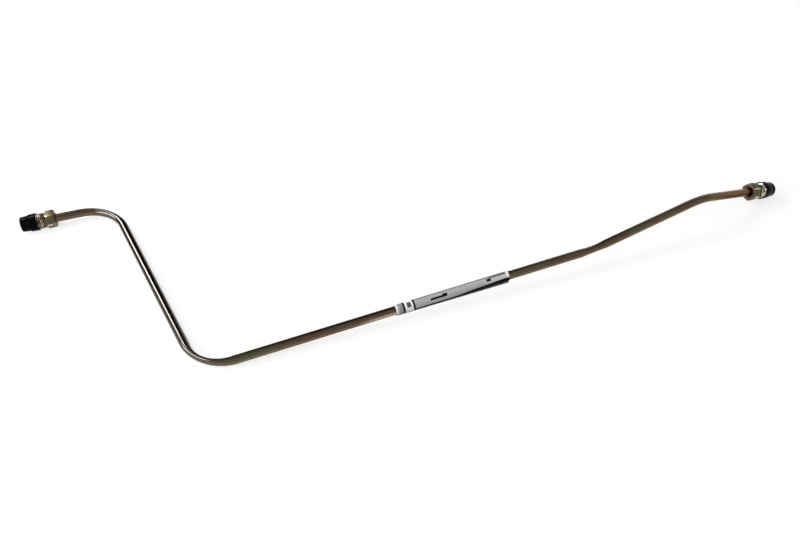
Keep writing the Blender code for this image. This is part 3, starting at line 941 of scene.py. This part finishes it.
class BRAKELINE_OT_pipe(Builder, bpy.types.Operator):
    """Builds the bent tube with its two flares"""

    bl_idname = "brake_line.pipe"
    bl_label = "Pipe"

    def build(self):
        pipe = settings("pipe")
        route = laid_route()[0]
        rings = pipe_rings(route, pipe)
        along = [0.0]
        for ring, after in zip(rings, rings[1:]):
            along.append(along[-1] + (after.centre - ring.centre).dot(ring.heading))
        mesh = bpy.data.meshes.new("sections")
        mesh.from_pydata([ring.centre for ring in rings], [], [])
        vector_note(mesh, "centre", [ring.centre for ring in rings])
        vector_note(mesh, "normal_way", [ring.turn.col[1] for ring in rings])
        vector_note(mesh, "binormal_way", [ring.turn.col[2] for ring in rings])
        vector_note(mesh, "across_way", [ring.across for ring in rings])
        vector_note(mesh, "axis_way", [ring.heading.cross(ring.across) for ring in rings])
        number_note(mesh, "squeeze", [ring.squeeze for ring in rings])
        number_note(mesh, "swell", [ring.swell for ring in rings])
        number_note(mesh, "radius", [ring.radius for ring in rings])
        number_note(mesh, "along", along)
        source = new_object("sections", mesh)
        grow(source, tube_tree(), Sides=pipe.sides, Finish=tube_finish(pipe, max(along)))
        tube = settled(source, "formed_pipe")
        smooth(tube.data, crease=30.0)
        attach(tube, "pipe")
        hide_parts("pipe")


class BRAKELINE_OT_nuts(Builder, bpy.types.Operator):
    """Builds the two threaded tube nuts"""

    bl_idname = "brake_line.nuts"
    bl_label = "Tube nuts"

    def build(self):
        nut = settings("nuts")
        finish = nut_finish(nut)
        tree = thread_tree()
        for side in SIDES:
            place = end_place(side)
            back, front = heights_of(side + "_tube_nut", place)
            name = side + "_nut"
            profile = nut_profile(nut, back, front)
            blank = new_object(name + "_blank", turned(profile, nut.sides, name, closed=True))
            bar = hexagon_bar(4 * NUT_HEX_LENGTH + 2 * (front - back), (front + back) / 2)
            flats = blank.modifiers.new("flats", "BOOLEAN")
            flats.operation = "INTERSECT"
            flats.object = bar
            soft = blank.modifiers.new("soft edges", "BEVEL")
            soft.width = nut.edge_softness
            soft.segments = 2
            soft.limit_method = "ANGLE"
            soft.angle_limit = math.radians(25)
            grow(blank, tree, Pitch=nut.pitch, Crest=nut.crest_diameter / 2,
                 Depth=nut.thread_depth, Foot=back + NUT_HEX_LENGTH + NUT_NECK_LENGTH, Front=front,
                 Face=NUT_MOUTH_DIAMETER / 2, Finish=finish)
            piece = settled(blank, name)
            bpy.data.objects.remove(bar)
            fitted(piece, place)
            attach(piece, side + "_nut")
            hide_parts(side + "_tube_nut")


class BRAKELINE_OT_caps(Builder, bpy.types.Operator):
    """Builds the two dust caps"""

    bl_idname = "brake_line.caps"
    bl_label = "Dust caps"

    def build(self):
        cap = settings("caps")
        finish = cap_finish(cap)
        for side in SIDES:
            place = end_place(side)
            rim, tip = heights_of(side + "_cap", place)
            name = side + "_dust_cap"
            profile = cap_profile(cap, rim, tip)
            piece = new_object(name, turned(profile, cap.sides, name, closed=False))
            piece.data.materials.append(finish)
            fitted(piece, place)
            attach(piece, side + "_cap")
            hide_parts(side + "_cap")


class BRAKELINE_OT_label(Builder, bpy.types.Operator):
    """Builds the printed label round the long leg"""

    bl_idname = "brake_line.label"
    bl_label = "Label"

    def build(self):
        label = settings("label")
        corners = laid_route()[1]
        corner, after = corners[LABELLED_LEG], corners[LABELLED_LEG + 1]
        forward = (after - corner).normalized()
        vertices = frame["nodes"]["label"].data.vertices
        reach = [(vertex.co - corner).dot(forward) for vertex in vertices]
        left = UP.cross(forward).normalized()
        turn = Matrix((forward, left, forward.cross(left))).transposed().to_4x4()
        length = max(reach) - min(reach)
        piece = new_object("wrapped_label", label_mesh(label, length))
        piece.data.materials.append(label_finish(label, length))
        smooth(piece.data, crease=40.0)
        piece.data.transform(Matrix.Translation(corner + forward * min(reach)) @ turn)
        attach(piece, "pipe")
        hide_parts("label")


def dull_finish(name, colour, roughness):
    """A plain finish without gloss, its node builder and its shader"""
    finish, nodes, shader = new_finish(name, 0.0, roughness)
    nodes.fill(shader, Base_Color=(*colour, 1.0), Specular_IOR_Level=0.0)
    return finish, nodes, shader


def panel(name, centre, width, height, facing, finish):
    """A flat rectangle with its face turned to a point"""
    mesh = bpy.data.meshes.new(name)
    half_width, half_height = width / 2, height / 2
    corners = [(-half_width, -half_height, 0), (half_width, -half_height, 0),
               (half_width, half_height, 0), (-half_width, half_height, 0)]
    mesh.from_pydata(corners, [], [(0, 1, 2, 3)])
    mesh.materials.append(finish)
    look = (Vector(facing) - Vector(centre)).to_track_quat("Z", "Y").to_matrix().to_4x4()
    mesh.transform(Matrix.Translation(centre) @ look)
    made = new_object(name, mesh)
    return made


def softbox(name, start, end, width, facing, level):
    """A lit strip from start to end, turned to a point, at a radiance of level"""
    start, end = Vector(start), Vector(end)
    centre = (start + end) / 2
    along = (end - start).normalized()
    back = centre - Vector(facing)
    back = (back - along * back.dot(along)).normalized()
    lamp = bpy.data.lights.new(name, "AREA")
    lamp.shape = "RECTANGLE"
    lamp.size, lamp.size_y = (end - start).length, width
    lamp.energy = level * math.pi * lamp.size * lamp.size_y
    made = bpy.data.objects.new(name, lamp)
    bpy.context.scene.collection.objects.link(made)
    turn = Matrix((along, back.cross(along), back)).transposed().to_4x4()
    made.matrix_world = Matrix.Translation(centre) @ turn


class BRAKELINE_OT_stage(Builder, bpy.types.Operator):
    """Builds the floor, the lights and the camera"""

    bl_idname = "brake_line.stage"
    bl_label = "Stage"

    def build(self):
        stage = settings("stage")
        self.make_floor(stage)
        self.make_flags()
        self.make_light(stage)
        self.make_camera(stage)

    def make_floor(self, stage):
        white, nodes, shader = dull_finish("floor_white", stage.floor, 0.9)
        rays = nodes.add("ShaderNodeLightPath").outputs
        seen = nodes.math("MAXIMUM", rays["Is Camera Ray"], rays["Is Glossy Ray"])
        seen = nodes.math("MAXIMUM", seen, rays["Is Transmission Ray"])
        strength = nodes.math("MULTIPLY", seen, stage.floor_white)
        nodes.fill(shader, Emission_Color=(1.0, 1.0, 1.0, 1.0), Emission_Strength=strength)
        panel("floor", (0.0, 0.0, 0.0), FLOOR_SIDE, FLOOR_SIDE, tuple(UP), white)

    def make_flags(self):
        black = dull_finish("flag_black", (0.0, 0.0, 0.0), 1.0)[0]
        for name, card in FLAGS.items():
            flag = panel(name, *card, black)
            flag.visible_camera = False

    def make_light(self, stage):
        world = bpy.data.worlds.new("studio")
        bpy.context.scene.world = world
        world.use_nodes = True
        nodes = Nodes(world.node_tree)
        way = nodes.add("ShaderNodeTexCoord").outputs["Generated"]
        facing = nodes.vector("DOT_PRODUCT", way, BRIGHTER_WAY)
        level = nodes.ramp(facing, -0.3, 0.3, stage.back_level, stage.front_level)
        background = world.node_tree.nodes["Background"]
        nodes.fill(background, Color=(1.0, 1.0, 1.0, 1.0), Strength=level)
        for name, strip in SOFTBOXES.items():
            softbox(name + "_softbox", *strip, getattr(stage, name + "_level"))

    def make_camera(self, stage):
        lens = bpy.data.cameras.new("camera")
        lens.lens = stage.camera_lens
        lens.sensor_width = 36.0
        lens.clip_start, lens.clip_end = 0.01, 20.0
        camera = bpy.data.objects.new("camera", lens)
        bpy.context.scene.collection.objects.link(camera)
        camera.location = (*CAMERA_PLACE, stage.camera_height)
        camera.rotation_euler = (math.radians(CAMERA_TILT), 0.0, 0.0)
        scene = bpy.context.scene
        scene.camera = camera
        scene.view_settings.view_transform = "Standard"


OPERATORS = (BRAKELINE_OT_pipe, BRAKELINE_OT_nuts, BRAKELINE_OT_caps, BRAKELINE_OT_label,
             BRAKELINE_OT_stage)


class BRAKELINE_PT_panel(bpy.types.Panel):
    """Lists the pieces and their settings"""

    bl_label = "Brake line"
    bl_idname = "BRAKELINE_PT_panel"
    bl_space_type = "VIEW_3D"
    bl_region_type = "UI"
    bl_category = "Brake line"

    def draw(self, context):
        for name, operator in zip(GROUPS, OPERATORS):
            box = self.layout.box()
            box.operator(operator.bl_idname)
            group = getattr(context.scene, "brake_line_" + name)
            for setting in GROUPS[name].__annotations__:
                box.prop(group, setting)


CLASSES = (*GROUPS.values(), *OPERATORS, BRAKELINE_PT_panel)


def register():
    for kind in CLASSES:
        bpy.utils.register_class(kind)
    for name, group in GROUPS.items():
        setattr(bpy.types.Scene, "brake_line_" + name, PointerProperty(type=group))


def unregister():
    for name in GROUPS:
        delattr(bpy.types.Scene, "brake_line_" + name)
    for kind in reversed(CLASSES):
        bpy.utils.unregister_class(kind)


def main():
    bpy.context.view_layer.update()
    register()
    bpy.ops.brake_line.pipe()
    bpy.ops.brake_line.nuts()
    bpy.ops.brake_line.caps()
    bpy.ops.brake_line.label()
    bpy.ops.brake_line.stage()


if __name__ == "__main__":
    main()
